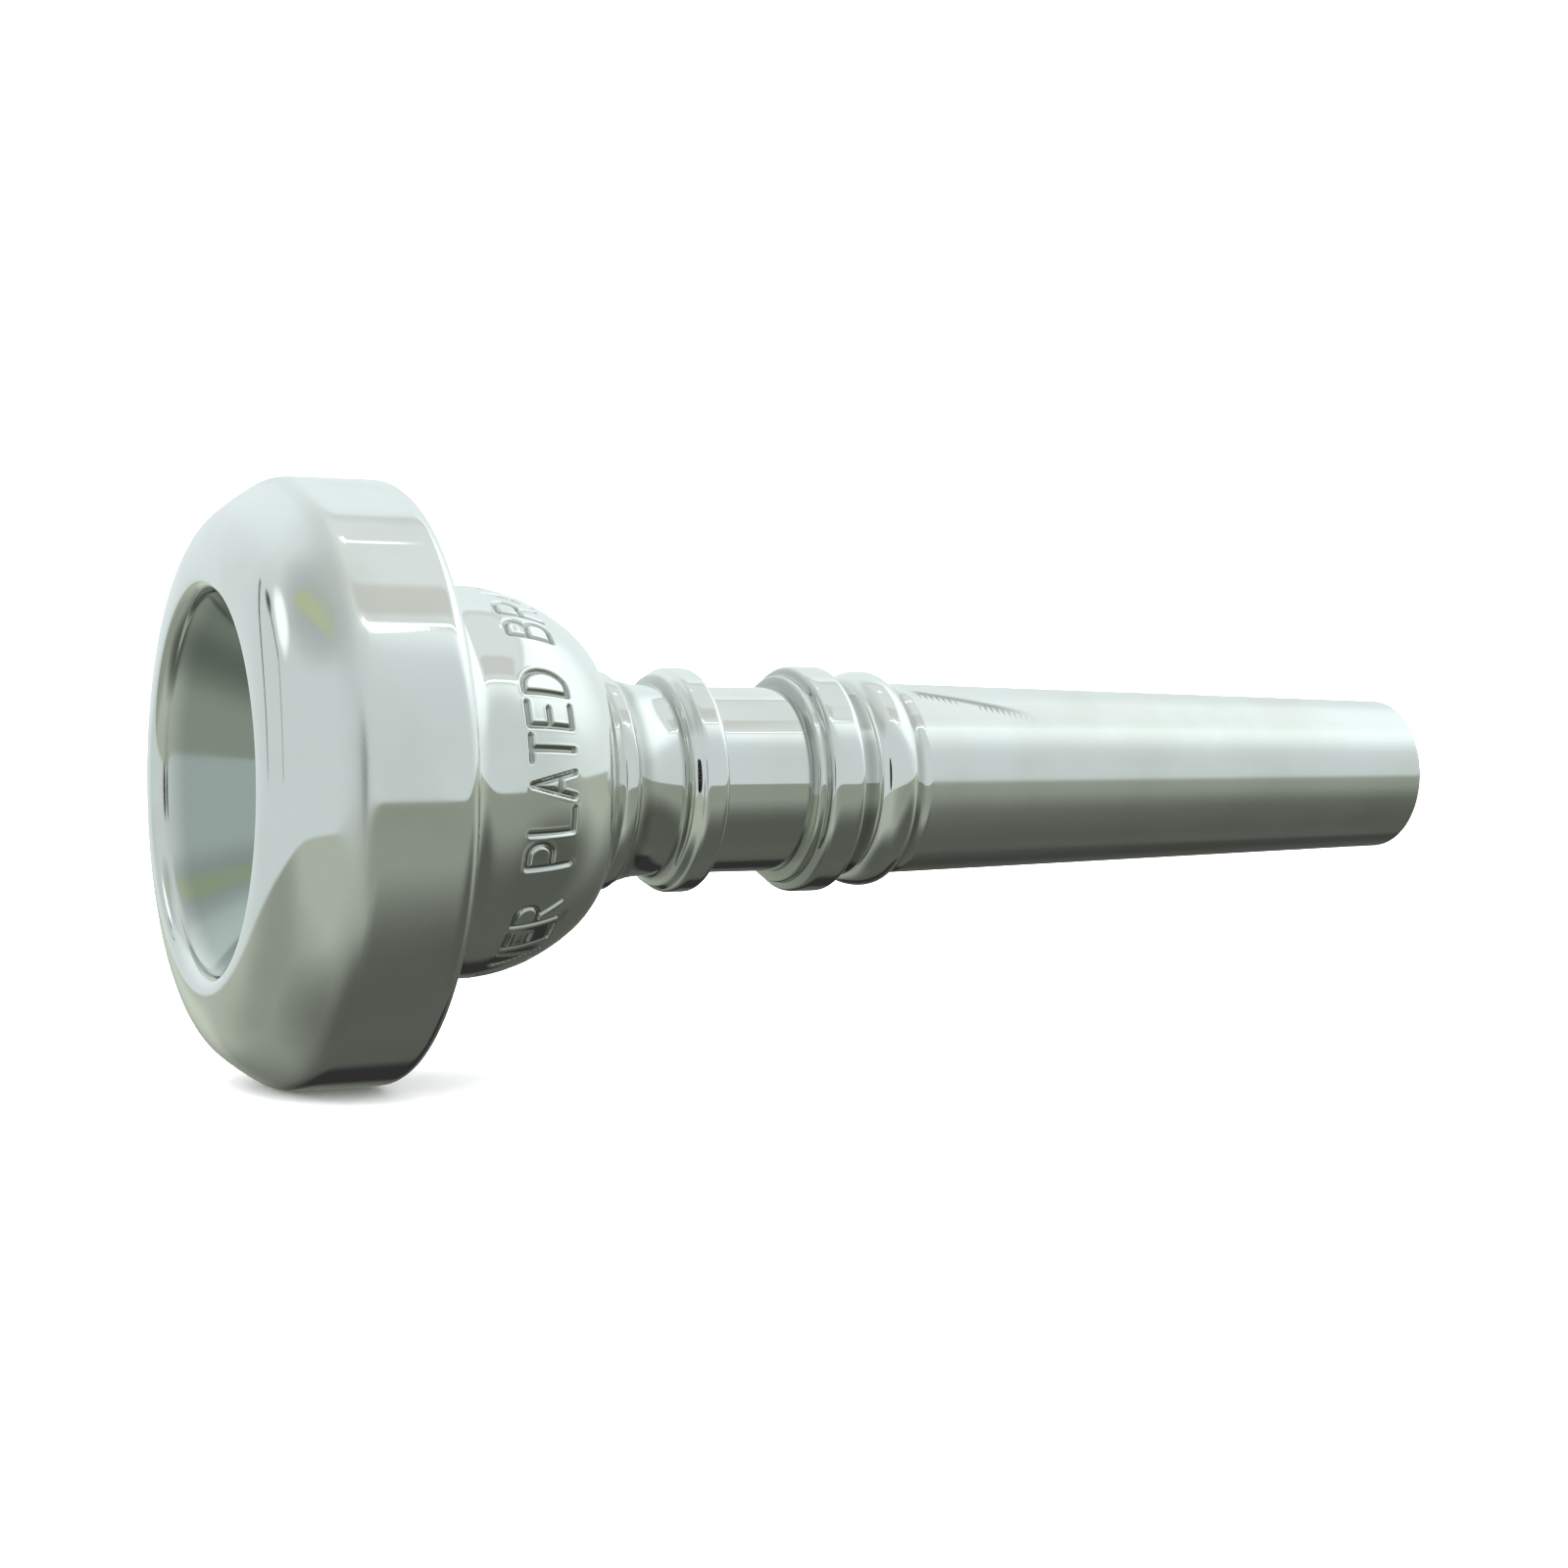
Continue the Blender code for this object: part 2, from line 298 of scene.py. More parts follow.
def polished(outline, edge, fine=()):
    """Rounds a closed outline's corners as polishing does, and spaces its points by how it turns.

    edge is the length over which a corner is rounded. fine has (box, longest step) for finer stretches.
    """
    corners = np.array(outline + outline[:1])
    lengths = np.r_[0, np.cumsum(np.hypot(*np.diff(corners, axis=0).T))]
    count = round(lengths[-1] / SAMPLE)
    along = np.arange(count) * lengths[-1] / count
    points = np.column_stack([np.interp(along, lengths, corners[:, k]) for k in (0, 1)])
    half = round(edge / SAMPLE / 2)
    weights = np.hanning(2 * half + 3)[1:-1]
    points = sum(w * np.roll(points, i - half, axis=0) for i, w in enumerate(weights / weights.sum()))

    ahead = np.roll(points, -1, axis=0) - points
    heading = np.arctan2(ahead[:, 1], ahead[:, 0])
    turn = np.abs((heading - np.roll(heading, 1) + np.pi) % (2 * np.pi) - np.pi) / SAMPLE
    turn = np.maximum.reduce([np.roll(turn, i) for i in range(-2, 3)])
    steps = np.clip(TURN_STEP / np.maximum(turn, 1e-9), SAMPLE, LONGEST_STEP)
    for box, longest in fine:
        steps[inside(points, box)] = np.minimum(steps[inside(points, box)], longest)
    for direction in (1, -1):
        for _ in range(2):
            for i in range(count)[::direction]:
                steps[i] = min(steps[i], steps[(i - direction) % count] + GRADING * SAMPLE)
    passed = np.r_[0, np.cumsum(SAMPLE / steps)]
    rows = round(passed[-1])
    places = np.interp(np.arange(rows) * passed[-1] / rows, passed, np.arange(count + 1))
    closed = np.vstack([points, points[:1]])
    return np.column_stack([np.interp(places, np.arange(count + 1), closed[:, k]) for k in (0, 1)])


def turned(name, rows, columns):
    """A mesh of the closed outline rows, spun about the axis in columns steps. Faces point outwards."""
    area = np.sum(rows[:, 0] * np.roll(rows[:, 1], -1) - np.roll(rows[:, 0], -1) * rows[:, 1])
    rows = rows[::-1] if area < 0 else rows
    angles = np.arange(columns) * 2 * np.pi / columns
    x = np.repeat(rows[:, :1] - GAUGE_STATION, columns, axis=1)
    points = np.stack([x, -rows[:, 1:] * np.cos(angles), rows[:, 1:] * np.sin(angles)], axis=2) * MM
    index = np.arange(len(rows) * columns).reshape(len(rows), columns)
    right = np.roll(index, -1, axis=1)
    faces = np.stack([index, right, np.roll(right, -1, axis=0), np.roll(index, -1, axis=0)], axis=2)
    mesh = bpy.data.meshes.new(name)
    mesh.from_pydata(points.reshape(-1, 3), [], faces.reshape(-1, 4).tolist())
    return mesh


def polar(mesh):
    """Station, radius and angle of each vertex. The angle is 0 towards -Y and grows towards +Z."""
    co = np.empty(len(mesh.vertices) * 3)
    mesh.vertices.foreach_get("co", co)
    x, y, z = co.reshape(-1, 3).T / MM
    return x + GAUGE_STATION, np.hypot(y, z), np.arctan2(z, -y)


def set_polar(mesh, station, radius, angle):
    co = np.column_stack([station - GAUGE_STATION, -radius * np.cos(angle), radius * np.sin(angle)]) * MM
    mesh.vertices.foreach_set("co", co.ravel())
    mesh.update()


def smoothstep(low, high, value):
    t = np.clip((value - low) / (high - low), 0, 1)
    return t * t * (3 - 2 * t)


def cut_thread(mesh, thread, crest_radius, sign):
    """Cuts a helical groove into the cylinder at crest_radius: sign is -1 inwards and 1 outwards."""
    station, radius, angle = polar(mesh)
    first, last = thread["span"]
    here = (np.abs(radius - crest_radius) < THREAD_CREST) & (station > first) & (station < last)
    phase = 2 * np.pi * station[here] / thread["pitch"] - angle[here]
    groove = smoothstep(*THREAD_FLANK, 0.5 - 0.5 * np.cos(phase))
    fade = smoothstep(first, first + THREAD_FADE, station[here])
    fade *= smoothstep(-last, THREAD_FADE - last, -station[here])
    radius[here] += sign * thread["depth"] * groove * fade
    set_polar(mesh, station, radius, angle)


def bow(centre, size, start, end, steps=10):
    """Points on an ellipse arc in a letter, for angles in degrees from the right, turning left."""
    angles = [math.radians(start + (end - start) * i / steps) for i in range(steps + 1)]
    return [(centre[0] + size[0] * math.cos(a), centre[1] + size[1] * math.sin(a)) for a in angles]


# Each letter is a list of strokes through points, in a box 1 wide and 1 high
LETTERS = {
    "A": [[(0, 0), (0.5, 1), (1, 0)], [(0.2, 0.36), (0.8, 0.36)]],
    "B": [
        [(0, 0), (0, 1)],
        [(0, 1)] + bow((0.5, 0.77), (0.4, 0.23), 90, -90) + [(0, 0.54)],
        [(0.5, 0.54)] + bow((0.55, 0.27), (0.45, 0.27), 90, -90) + [(0, 0)],
    ],
    "D": [[(0, 0), (0, 1)], [(0, 1)] + bow((0.3, 0.5), (0.7, 0.5), 90, -90, 16) + [(0, 0)]],
    "E": [[(0.95, 1), (0, 1), (0, 0), (0.95, 0)], [(0, 0.52), (0.75, 0.52)]],
    "I": [[(0.5, 0), (0.5, 1)]],
    "L": [[(0, 1), (0, 0), (0.95, 0)]],
    "P": [[(0, 0), (0, 1)], [(0, 1)] + bow((0.55, 0.73), (0.45, 0.27), 90, -90) + [(0, 0.46)]],
    "R": [
        [(0, 0), (0, 1)],
        [(0, 1)] + bow((0.55, 0.74), (0.45, 0.26), 90, -90) + [(0, 0.48)],
        [(0.5, 0.48), (1, 0)],
    ],
    "S": [bow((0.5, 0.75), (0.46, 0.25), 20, 270, 14) + bow((0.5, 0.25), (0.5, 0.25), 90, -160, 14)],
    "T": [[(0, 1), (1, 1)], [(0.5, 1), (0.5, 0)]],
    "V": [[(0, 1), (0.5, 0), (1, 1)]],
}


def stroke_distance(across, up, stroke):
    """Distance from points to a stroke, in millimetres."""
    nearest = np.full(len(across), np.inf)
    for (ax, ay), (bx, by) in zip(stroke, stroke[1:]):
        dx, dy = bx - ax, by - ay
        t = np.clip(((across - ax) * dx + (up - ay) * dy) / max(dx * dx + dy * dy, 1e-12), 0, 1)
        nearest = np.minimum(nearest, np.hypot(across - ax - t * dx, up - ay - t * dy))
    return nearest


def stamp_words(mesh):
    """Presses WORDS into the bowl. They read upwards on the -Y side, with their tops towards the rim."""
    low, high = LETTER_SPAN
    reach = LETTER_PITCH * (len(WORDS) / 2 + 0.2)
    shape = bmesh.new()
    shape.from_mesh(mesh)
    edges = set()
    for face in shape.faces:
        centre = face.calc_center_median() / MM
        station = centre.x + GAUGE_STATION
        outside = math.hypot(centre.y, centre.z) > STAMPED_RADII[0]
        lettered = abs(math.atan2(centre.z, -centre.y)) < reach
        if low - LETTER_MARGIN < station < high + LETTER_MARGIN and outside and lettered:
            edges.update(face.edges)
    bmesh.ops.subdivide_edges(shape, edges=list(edges), cuts=STAMP_CUTS, use_grid_fill=True)
    shape.to_mesh(mesh)
    shape.free()

    station, radius, angle = polar(mesh)
    here = (station > low - 2 * LETTER_MARGIN) & (station < high + 2 * LETTER_MARGIN)
    here &= (radius > STAMPED_RADII[0]) & (radius < STAMPED_RADII[1])
    here &= np.abs(radius - bowl_radius(np.clip(station, BOWL_START, SHOULDER_STATION))) < BOWL_REACH
    across = angle[here] * BOWL_RADIUS
    up = high - station[here]
    gap = np.full(len(across), np.inf)
    for i, letter in enumerate(WORDS):
        left = (i - (len(WORDS) - 1) / 2) * LETTER_PITCH * BOWL_RADIUS - LETTER_WIDTH / 2
        near = np.abs(across - left - LETTER_WIDTH / 2) < LETTER_WIDTH
        for stroke in LETTERS.get(letter, []):
            scaled = [(left + px * LETTER_WIDTH, py * (high - low)) for px, py in stroke]
            gap[near] = np.minimum(gap[near], stroke_distance(across[near], up[near], scaled))
    press = 1 - smoothstep(STROKE_FLAT, STROKE_EDGE, gap)
    lip = STAMP_LIP * np.exp(-(((gap - STROKE_EDGE - STAMP_LIP_GAP) / STAMP_LIP_WIDTH) ** 2))
    radius[here] = bowl_radius(station[here]) - STAMP_DEPTH * press + lip
    set_polar(mesh, station, radius, angle)
    marks = np.zeros(len(mesh.vertices))
    marks[here] = press
    mesh.attributes.new(STAMP_MARK, "FLOAT", "POINT").data.foreach_set("value", marks)


class Graph:
    """Short calls that add nodes to a node tree. Each returns the socket that comes out."""

    def __init__(self, tree):
        self.tree = tree

    def add(self, kind, inputs=None, output=0, **settings):
        node = self.tree.nodes.new(kind)
        for name, value in settings.items():
            setattr(node, name, value)
        for key, value in (inputs or {}).items():
            if isinstance(value, bpy.types.NodeSocket):
                self.tree.links.new(value, node.inputs[key])
            else:
                node.inputs[key].default_value = value
        return node.outputs[output]

    def math(self, operation, *values):
        return self.add("ShaderNodeMath", dict(enumerate(values)), operation=operation)

    def dot(self, vector, axis):
        return self.add("ShaderNodeVectorMath", {0: vector, 1: axis}, "Value", operation="DOT_PRODUCT")

    def step(self, value, low, high):
        """0 where value is at low, 1 where it is at high, and a smooth step between."""
        inputs = {"Value": value, "From Min": low, "From Max": high}
        return self.add("ShaderNodeMapRange", inputs, interpolation_type="SMOOTHSTEP")

    def noise(self, vector, scale, detail):
        return self.add("ShaderNodeTexNoise", {"Vector": vector, "Scale": scale, "Detail": detail})

    def mix(self, factor, first, second):
        return self.add("ShaderNodeMix", {0: factor, 6: first, 7: second}, 2, data_type="RGBA")


# Silver plate
SILVER = (0.93, 0.94, 0.92)
TARNISH = (0.80, 0.80, 0.74)
# Painted shade in the bores: the plate's colour darkens to the first of these between the stations of the
# second
BORE_SHADE_COLOUR = (0.50, 0.55, 0.52)
BORE_SHADE_SPAN = (0.3, 1.5)
# Painted shade in the stamped letters' grooves: its colour, then how strongly it is mixed in
STAMP_SHADE = (0.16, 0.17, 0.15)
STAMP_SHADE_STRENGTH = 0.6
RING_SCALE = (2600, 5200)
RING_HEIGHT = 2.5e-7
CLOUD_SCALE = 180
SCRATCH_SCALE = (300, 2500, 2500)
SCRATCH_HEIGHT = 1.2e-7
CLOUD_SPAN = (0.42, 0.72)
CLOUD_TARNISH = 0.5
RIM_WEAR = (2.95, 0.95, 0.28)
# Dark grey of the painted shade in the grooves, also used for the tool marks on the shank
GRIME_AND_SHADE = (0.34, 0.35, 0.32)
# Grooves darkened with painted shade: station, reach, how strong it is
SHADED_GROOVES = (
    (19.1, 0.7, 0.60),
    (21.25, 0.3, 0.70),
    (23.2, 0.25, 0.60),
    (27.7, 0.3, 0.70),
    (28.25, 0.25, 0.60),
    (30.7, 0.7, 0.65),
    (33.4, 0.4, 0.50),
)
# Marks that the turning tool left on top of the shank: station and angle where they start and end
CHATTER_START = (34.2, math.radians(65))
CHATTER_END = (40.8, math.radians(42))
CHATTER_PITCH = 0.3
CHATTER_REACH = math.radians(8)
CHATTER_STRENGTH = 0.85
CHATTER_GAP = 0.42


def chatter_marks(graph, place, along, colour):
    """Draws a dark streak that runs down round the shank, with a comb of short marks below it."""
    angle = graph.math("ARCTAN2", graph.dot(place, (0, 0, 1)), graph.dot(place, (0, -1, 0)))
    first, last = [(end[0] - GAUGE_STATION) * MM for end in (CHATTER_START, CHATTER_END)]
    passed = graph.add("ShaderNodeMapRange", {"Value": along, "From Min": first, "From Max": last})
    streak_angle = graph.math("MULTIPLY_ADD", passed, CHATTER_END[1] - CHATTER_START[1], CHATTER_START[1])
    below = graph.math("SUBTRACT", streak_angle, angle)
    streak = graph.step(graph.math("ABSOLUTE", below), CHATTER_REACH * 0.55, 0.0)
    wave = graph.math("SINE", graph.math("MULTIPLY", along, 2 * math.pi / (CHATTER_PITCH * MM)))
    comb = graph.math("MULTIPLY", graph.step(wave, -0.6, 1.0), graph.step(below, 0.0, CHATTER_REACH * 0.1))
    comb = graph.math("MULTIPLY", comb, graph.step(below, CHATTER_REACH, CHATTER_REACH * 0.3))
    gap = graph.math("ABSOLUTE", graph.math("SUBTRACT", passed, CHATTER_GAP))
    comb = graph.math("MULTIPLY", comb, graph.step(gap, 0.04, 0.12))
    fade = graph.math("MULTIPLY", graph.step(passed, 0.0, 0.08), graph.step(passed, 1.0, 0.6))
    mark = graph.math("MULTIPLY", graph.math("MAXIMUM", streak, comb), fade)
    return graph.mix(graph.math("MULTIPLY", mark, CHATTER_STRENGTH), colour, (*GRIME_AND_SHADE, 1))


def silver(
    name, roughness, clouds=0.04, rings=1.0, satin=0.0, worn=None,
    grooves=(), chatter=False, stamped=False, bore=False,
):
    """Silver plate with fine rings from turning and polishing, faint clouds and handling marks.

    clouds is how much the roughness varies, rings the strength of the rings, and satin how far
    the turned finish stretches reflections along the axis. worn is (station, reach, roughness) of
    a band that handling has dulled. In a bore, painted shade darkens the plate's colour behind
    the lip. grooves has (station, reach, strength) of grooves darkened with painted shade.
    """
    material = bpy.data.materials.new(name)
    material.use_nodes = True
    graph = Graph(material.node_tree)
    shader = material.node_tree.nodes["Principled BSDF"]
    links = material.node_tree.links
    place = graph.add("ShaderNodeTexCoord", output="Object")
    along = graph.dot(place, (1, 0, 0))
    across = graph.add("ShaderNodeVectorMath", {0: place, 1: (0, 1, 1)}, operation="MULTIPLY")
    radius = graph.add("ShaderNodeVectorMath", {0: across}, "Value", operation="LENGTH")
    profile = graph.add("ShaderNodeCombineXYZ", {"X": along, "Y": radius})

    heights = [graph.noise(profile, scale, 2.0) for scale in RING_SCALE]
    ring = graph.math("MULTIPLY", graph.math("ADD", *heights), rings * RING_HEIGHT / MM)
    scratched = graph.add("ShaderNodeVectorMath", {0: place, 1: SCRATCH_SCALE}, operation="MULTIPLY")
    scratch = graph.math("MULTIPLY", graph.noise(scratched, 1.0, 3.0), SCRATCH_HEIGHT / MM)
    height = graph.math("ADD", ring, scratch)
    bump = graph.add("ShaderNodeBump", {"Height": height, "Distance": MM})
    links.new(bump, shader.inputs["Normal"])

    cloud = graph.step(graph.noise(place, CLOUD_SCALE, 4.0), *CLOUD_SPAN)
    rough = roughness
    if clouds:
        rough = graph.math("MULTIPLY_ADD", cloud, clouds, roughness)
    if worn:
        off = graph.math("ABSOLUTE", graph.math("SUBTRACT", along, (worn[0] - GAUGE_STATION) * MM))
        rough = graph.math("MULTIPLY_ADD", graph.step(off, worn[1] * MM, 0.0), worn[2], rough)
    if clouds or worn:
        links.new(rough, shader.inputs["Roughness"])
    else:
        shader.inputs["Roughness"].default_value = roughness
    colour = graph.mix(graph.math("MULTIPLY", cloud, CLOUD_TARNISH), (*SILVER, 1), (*TARNISH, 1))
    # Painted shade: the bore's colour darkens behind the lip
    if bore:
        first, last = [(station - GAUGE_STATION) * MM for station in BORE_SHADE_SPAN]
        colour = graph.mix(graph.step(along, first, last), colour, (*BORE_SHADE_COLOUR, 1))
    # Painted shade darkens the grooves
    for station, reach, strength in grooves:
        off = graph.math("ABSOLUTE", graph.math("SUBTRACT", along, (station - GAUGE_STATION) * MM))
        groove_shade = graph.math("MULTIPLY", graph.step(off, reach * MM, 0.0), strength)
        colour = graph.mix(groove_shade, colour, (*GRIME_AND_SHADE, 1))
    if chatter:
        colour = chatter_marks(graph, place, along, colour)
    # Painted shade darkens the grooves of the stamped letters
    if stamped:
        mark = graph.add("ShaderNodeAttribute", output="Fac", attribute_name=STAMP_MARK)
        letter_shade = graph.math("MULTIPLY", mark, STAMP_SHADE_STRENGTH)
        colour = graph.mix(letter_shade, colour, (*STAMP_SHADE, 1))
    links.new(colour, shader.inputs["Base Color"])
    shader.inputs["Metallic"].default_value = 1.0
    if satin:
        shader.inputs["Anisotropic"].default_value = satin
        shader.inputs["Anisotropic Rotation"].default_value = 0.25
        tangent = graph.add("ShaderNodeTangent", direction_type="RADIAL", axis="X")
        links.new(tangent, shader.inputs["Tangent"])
    return material


def make_piece(mesh, node, materials):
    """Shows a mesh in place of a CAD node."""
    mesh.shade_smooth()
    for material in materials:
        mesh.materials.append(material)
    piece = bpy.data.objects.new(mesh.name, mesh)
    bpy.context.scene.collection.objects.link(piece)
    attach(piece, node)
    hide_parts(node)
    return piece


def assign(mesh, index, choose):
    """Gives the material of that index to the faces whose middle (station, radius) is chosen."""
    centres = np.empty(len(mesh.polygons) * 3)
    mesh.polygons.foreach_get("center", centres)
    x, y, z = centres.reshape(-1, 3).T / MM
    chosen = choose(x + GAUGE_STATION, np.hypot(y, z))
    indices = np.zeros(len(mesh.polygons), dtype=np.int32)
    indices[chosen] = index
    mesh.polygons.foreach_set("material_index", indices)


# Where the second material of each piece starts
RIM_BORE_STATION = 0.4
RIM_BORE_RADIUS = RIM_CREST_RADIUS - 0.35
HOLLOW_REACH = 0.3
SHANK_FINISH_STATION = SHANK_STATION + 0.1
SHANK_FINISH_RADIUS = 3.6


def thread_rows(thread, radius):
    """The box that a thread lies in, and the longest step between its rows."""
    return (thread["span"], (radius - THREAD_REACH, radius + THREAD_REACH)), THREAD_STEP


def make_rim():
    rows = polished(rim_outline(), RIM_POLISH, [thread_rows(RIM_THREAD, RIM_SOCKET_RADIUS)])
    mesh = turned("rim_turned", rows, RIM_COLUMNS)
    cut_thread(mesh, RIM_THREAD, RIM_SOCKET_RADIUS, 1)
    materials = [
        silver("rim silver", 0.045, worn=RIM_WEAR),
        silver("rim bore silver", 0.10, clouds=0.05, bore=True),
    ]
    assign(mesh, 1, lambda station, radius: (radius < RIM_BORE_RADIUS) & (station > RIM_BORE_STATION))
    return make_piece(mesh, "rim", materials)


def make_cup():
    letter_box = ((LETTER_SPAN[0] - LETTER_MARGIN, LETTER_SPAN[1] + LETTER_MARGIN), STAMPED_RADII)
    fine = [thread_rows(RIM_THREAD, BOSS_RADIUS), thread_rows(NECK_THREAD, SPIGOT_RADIUS)]
    fine += [(letter_box, LETTER_STEP)]
    mesh = turned("cup_turned", polished(cup_outline(), CUP_POLISH, fine), CUP_COLUMNS)
    cut_thread(mesh, RIM_THREAD, BOSS_RADIUS, -1)
    cut_thread(mesh, NECK_THREAD, SPIGOT_RADIUS, -1)
    stamp_words(mesh)
    materials = [
        silver("cup silver", 0.045, stamped=True),
        silver("cup bore silver", 0.12, clouds=0.06, bore=True),
    ]
    assign(mesh, 1, lambda station, radius: radius < hollow_radius(station) + HOLLOW_REACH)
    return make_piece(mesh, "cup", materials)


def make_backbore():
    rows = polished(backbore_outline(), BACKBORE_POLISH, [thread_rows(NECK_THREAD, SOCKET_RADIUS)])
    mesh = turned("backbore_turned", rows, BACKBORE_COLUMNS)
    cut_thread(mesh, NECK_THREAD, SOCKET_RADIUS, 1)
    materials = [
        silver("backbore silver", 0.05, grooves=SHADED_GROOVES),
        silver("shank silver", 0.20, clouds=0.0, rings=1.5, satin=1.0, chatter=True),
    ]
    assign(mesh, 1, lambda station, radius: (station > SHANK_FINISH_STATION) & (radius > SHANK_FINISH_RADIUS))
    return make_piece(mesh, "backbore", materials)


# Camera, in millimetres and degrees: it aims at the axis from the rim's side
CAMERA_LENS = 63.0
CAMERA_SENSOR = 36
CAMERA_AZIMUTH = -26.505
CAMERA_ELEVATION = 1.1825
CAMERA_DISTANCE = 132.058
CAMERA_TARGET = (-10.586, 0, -0.247)


def make_camera():
    camera = bpy.data.cameras.new("camera")
    camera.lens = CAMERA_LENS
    camera.sensor_width = CAMERA_SENSOR
    camera.clip_start = 0.005
    camera.clip_end = 50
    obj = bpy.data.objects.new("camera", camera)
    azimuth, elevation = math.radians(CAMERA_AZIMUTH), math.radians(CAMERA_ELEVATION)
    back = Vector((
        math.sin(azimuth) * math.cos(elevation),
        -math.cos(azimuth) * math.cos(elevation),
        math.sin(elevation),
    ))
    obj.location = Vector(CAMERA_TARGET) * MM + back * CAMERA_DISTANCE * MM
    obj.rotation_euler = (-back).to_track_quat("-Z", "Y").to_euler()
    bpy.context.scene.collection.objects.link(obj)
    bpy.context.scene.camera = obj


def towards(azimuth, elevation):
    """A unit vector, for degrees from +Y towards +X and degrees above the horizon."""
    azimuth, elevation = math.radians(azimuth), math.radians(elevation)
    return Vector((
        math.sin(azimuth) * math.cos(elevation),
        math.cos(azimuth) * math.cos(elevation),
        math.sin(elevation),
    ))


# The studio that the silver mirrors: bright above a tilted edge and dark below it. Its tones are
# few and set one by one. Where it is light and dark was first learnt from a fit to the photo's tones.
SKY_TINT = (0.9, 1.0, 1.0)
GROUND_TINT = (0.9, 1.0, 0.85)
LAMP = 1.2
BRIGHT = 0.9
PALE = 0.65
GREY = 0.45
DIM = 0.3
DARK = 0.1
EDGE_TILT = (-0.155, -0.04, 1.0)
EDGE_HEIGHT = 0.109
EDGE_WIDTH = 0.012
# Soft patches, painted in turn: the middle, how many degrees from it they are full and end, tone
SKY_PATCHES = (
    ((45, 40), (25, 90), BRIGHT),
    ((95, 50), (10, 40), LAMP),
    ((-75, 35), (4, 12), LAMP),
    ((-110, 60), (5, 30), GREY),
    ((0, 90), (10, 40), PALE),
    ((-57, 28), (1, 4), DARK),
)
GROUND_PATCHES = (
    ((0, -10), (6, 16), PALE),
    ((150, -20), (10, 50), DIM),
    ((-60, -35), (10, 45), DIM),
    ((115, -45), (15, 40), DARK),
    ((40, -40), (15, 55), DARK),
    ((0, -90), (10, 45), DARK),
)
STRIPE_BLUR = 0.4
# Stripes from one direction to another: half width in degrees, colour
STRIPES = (
    ((-48, 28), (-43, 0), 0.6, (0.10, 0.11, 0.10)),
    ((-57, 27), (-69, 20), 0.8, (0.20, 0.22, 0.20)),
    ((-69, 20), (-70, 0), 1.2, (0.40, 0.46, 0.44)),
    ((-84, 51), (-120, 47), 3.0, (0.46, 0.53, 0.36)),
    ((6, -28), (66, -44), 8.0, (0.03, 0.03, 0.03)),
    ((147, 54), (156, 60), 1.3, (1.8, 1.9, 1.9)),
    ((50, 70), (58, 72), 0.8, (1.8, 1.9, 1.9)),
)
CEILING_LOWEST = 0.05
# Rectangles on the ceiling, a unit above: x range, y range, softness, colour
CEILING = (
    ((-0.15, 0.63), (-0.60, 0.55), 0.04, (0.64, 0.70, 0.67)),
    ((0.05, 0.60), (-0.50, 0.45), 0.05, (0.72, 0.78, 0.77)),
    ((0.12, 0.52), (-0.46, -0.20), 0.03, (0.60, 0.63, 0.60)),
    ((0.05, 0.60), (-0.56, -0.54), 0.010, (1.7, 1.8, 1.8)),
    ((0.20, 0.343), (0.19, 0.205), 0.006, (1.7, 1.8, 1.8)),
)


def tinted(brightness, tint):
    return (*(brightness * part for part in tint), 1)


def make_world():
    world = bpy.data.worlds.new("studio")
    bpy.context.scene.world = world
    world.use_nodes = True
    graph = Graph(world.node_tree)
    direction = graph.add("ShaderNodeTexCoord", output="Generated")

    def patched(brightness, patches, tint):
        colour = tinted(brightness, tint)
        for middle, (full, end), patch in patches:
            near = graph.dot(direction, towards(*middle))
            low, high = math.cos(math.radians(end)), math.cos(math.radians(full))
            colour = graph.mix(graph.step(near, low, high), colour, tinted(patch, tint))
        return colour

    sky = patched(PALE, SKY_PATCHES, SKY_TINT)
    x, y, z = [graph.dot(direction, axis) for axis in ((1, 0, 0), (0, 1, 0), (0, 0, 1))]
    over = graph.math("MAXIMUM", z, CEILING_LOWEST)
    x_above, y_above = graph.math("DIVIDE", x, over), graph.math("DIVIDE", y, over)
    for x_range, y_range, soft, paint in CEILING:
        cover = None
        for value, (low, high) in ((x_above, x_range), (y_above, y_range)):
            for edge, side in ((low, soft), (high, -soft)):
                part = graph.step(value, edge - side, edge + side)
                cover = part if cover is None else graph.math("MULTIPLY", cover, part)
        sky = graph.mix(cover, sky, (*paint, 1))
    ground = patched(GREY, GROUND_PATCHES, GROUND_TINT)
    height = graph.math("ADD", graph.dot(direction, EDGE_TILT), EDGE_HEIGHT)
    colour = graph.mix(graph.step(height, -EDGE_WIDTH, EDGE_WIDTH), ground, sky)
    for start, end, half_width, stripe in STRIPES:
        first, last = towards(*start), towards(*end)
        off = graph.math("ABSOLUTE", graph.dot(direction, first.cross(last).normalized()))
        reach = first.angle(last) / 2
        along = graph.dot(direction, (first + last).normalized())
        width = math.sin(math.radians(half_width))
        inside_width = graph.step(off, (1 + STRIPE_BLUR) * width, (1 - STRIPE_BLUR) * width)
        inside_reach = graph.step(along, math.cos(reach * 1.1), math.cos(reach * 0.9))
        colour = graph.mix(graph.math("MULTIPLY", inside_width, inside_reach), colour, (*stripe, 1))
    background = world.node_tree.nodes["Background"]
    world.node_tree.links.new(colour, background.inputs["Color"])


# Stage, in millimetres
FLOOR_HEIGHT = -RIM_RADIUS - 0.02
FLOOR_RADIUS = 420
COVE_RADIUS = 180
WALL_HEIGHT = 900
STAGE_STEPS = 96


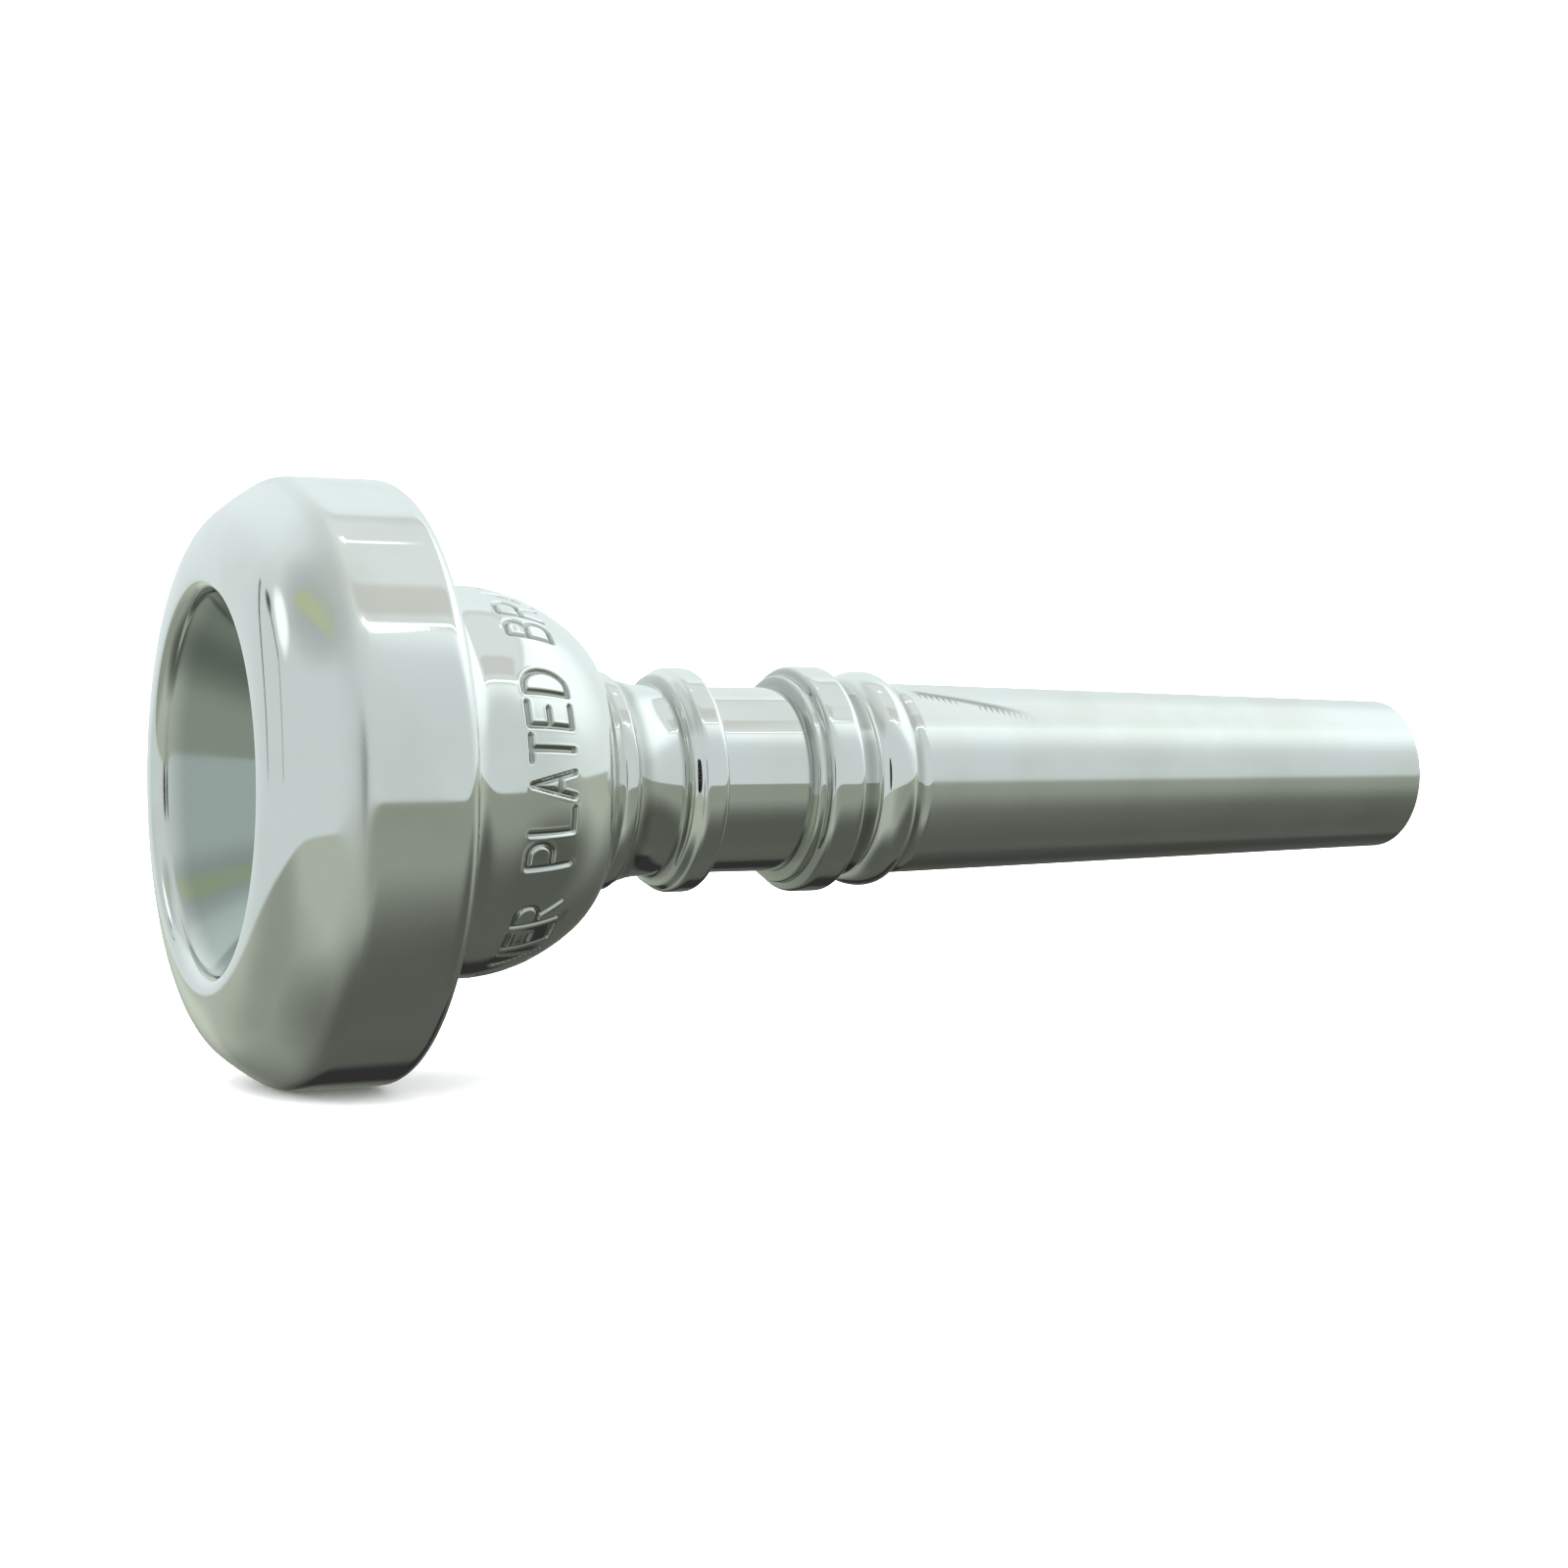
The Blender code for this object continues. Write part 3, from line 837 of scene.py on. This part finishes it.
def matte(name, colour):
    material = bpy.data.materials.new(name)
    material.use_nodes = True
    shader = material.node_tree.nodes["Principled BSDF"]
    shader.inputs["Base Color"].default_value = (*colour, 1)
    shader.inputs["Roughness"].default_value = 1.0
    shader.inputs["Specular IOR Level"].default_value = 0.0
    return material


def make_stage():
    """A round floor that curves up into a wall. The silver doesn't mirror it."""
    profile = [(0.0, 0.0), (FLOOR_RADIUS - COVE_RADIUS, 0.0)]
    profile += [(x, z) for z, x in arc((COVE_RADIUS, FLOOR_RADIUS - COVE_RADIUS), COVE_RADIUS, -90, 0)]
    profile += [(FLOOR_RADIUS, WALL_HEIGHT)]
    shape = bmesh.new()
    rings = []
    for radius, height in profile[1:]:
        ring = []
        for i in range(STAGE_STEPS):
            angle = 2 * math.pi * i / STAGE_STEPS
            place = Vector((radius * math.cos(angle), radius * math.sin(angle), FLOOR_HEIGHT + height))
            ring.append(shape.verts.new(place * MM))
        rings.append(ring)
    shape.faces.new(rings[0])
    for low, high in zip(rings, rings[1:]):
        for i in range(STAGE_STEPS):
            j = (i + 1) % STAGE_STEPS
            shape.faces.new((low[i], low[j], high[j], high[i]))
    mesh = bpy.data.meshes.new("floor")
    shape.to_mesh(mesh)
    shape.free()
    mesh.shade_smooth()
    mesh.materials.append(matte("floor paper", (0.9, 0.9, 0.9)))
    floor = bpy.data.objects.new("floor", mesh)
    floor.visible_glossy = False
    bpy.context.scene.collection.objects.link(floor)


# The photographer and camera, as the silver mirrors them
CARD_SIZE = (12, 38)
CARD_RISE = 9
CARD_SEGMENTS = 64


def make_card():
    camera = bpy.context.scene.camera
    shape = bmesh.new()
    bmesh.ops.create_circle(shape, cap_ends=True, segments=CARD_SEGMENTS, radius=MM)
    mesh = bpy.data.meshes.new("camera card")
    shape.to_mesh(mesh)
    shape.free()
    mesh.materials.append(matte("card black", (0.01, 0.01, 0.01)))
    card = bpy.data.objects.new("camera card", mesh)
    card.location = camera.location + Vector((0, 0, CARD_RISE * MM))
    card.rotation_euler = camera.rotation_euler
    card.scale = (*CARD_SIZE, 1)
    card.visible_camera = False
    card.visible_diffuse = False
    card.visible_shadow = False
    bpy.context.scene.collection.objects.link(card)


# Soft lights on the stage: name, place in millimetres, size in millimetres, power in watts
LIGHTS = (
    ("top light", (0, 0, 600), 700, 6.0),
    ("front light", (-250, -300, 350), 400, 2.0),
)


def make_lights():
    for name, place, size, power in LIGHTS:
        light = bpy.data.lights.new(name, "AREA")
        light.shape = "DISK"
        light.size = size * MM
        light.energy = power
        obj = bpy.data.objects.new(name, light)
        obj.location = Vector(place) * MM
        obj.rotation_euler = (-obj.location).to_track_quat("-Z", "Y").to_euler()
        obj.visible_glossy = False
        obj.visible_camera = False
        bpy.context.scene.collection.objects.link(obj)


make_rim()
make_cup()
make_backbore()
make_camera()
make_world()
make_stage()
make_card()
make_lights()
bpy.context.scene.view_settings.view_transform = "Standard"
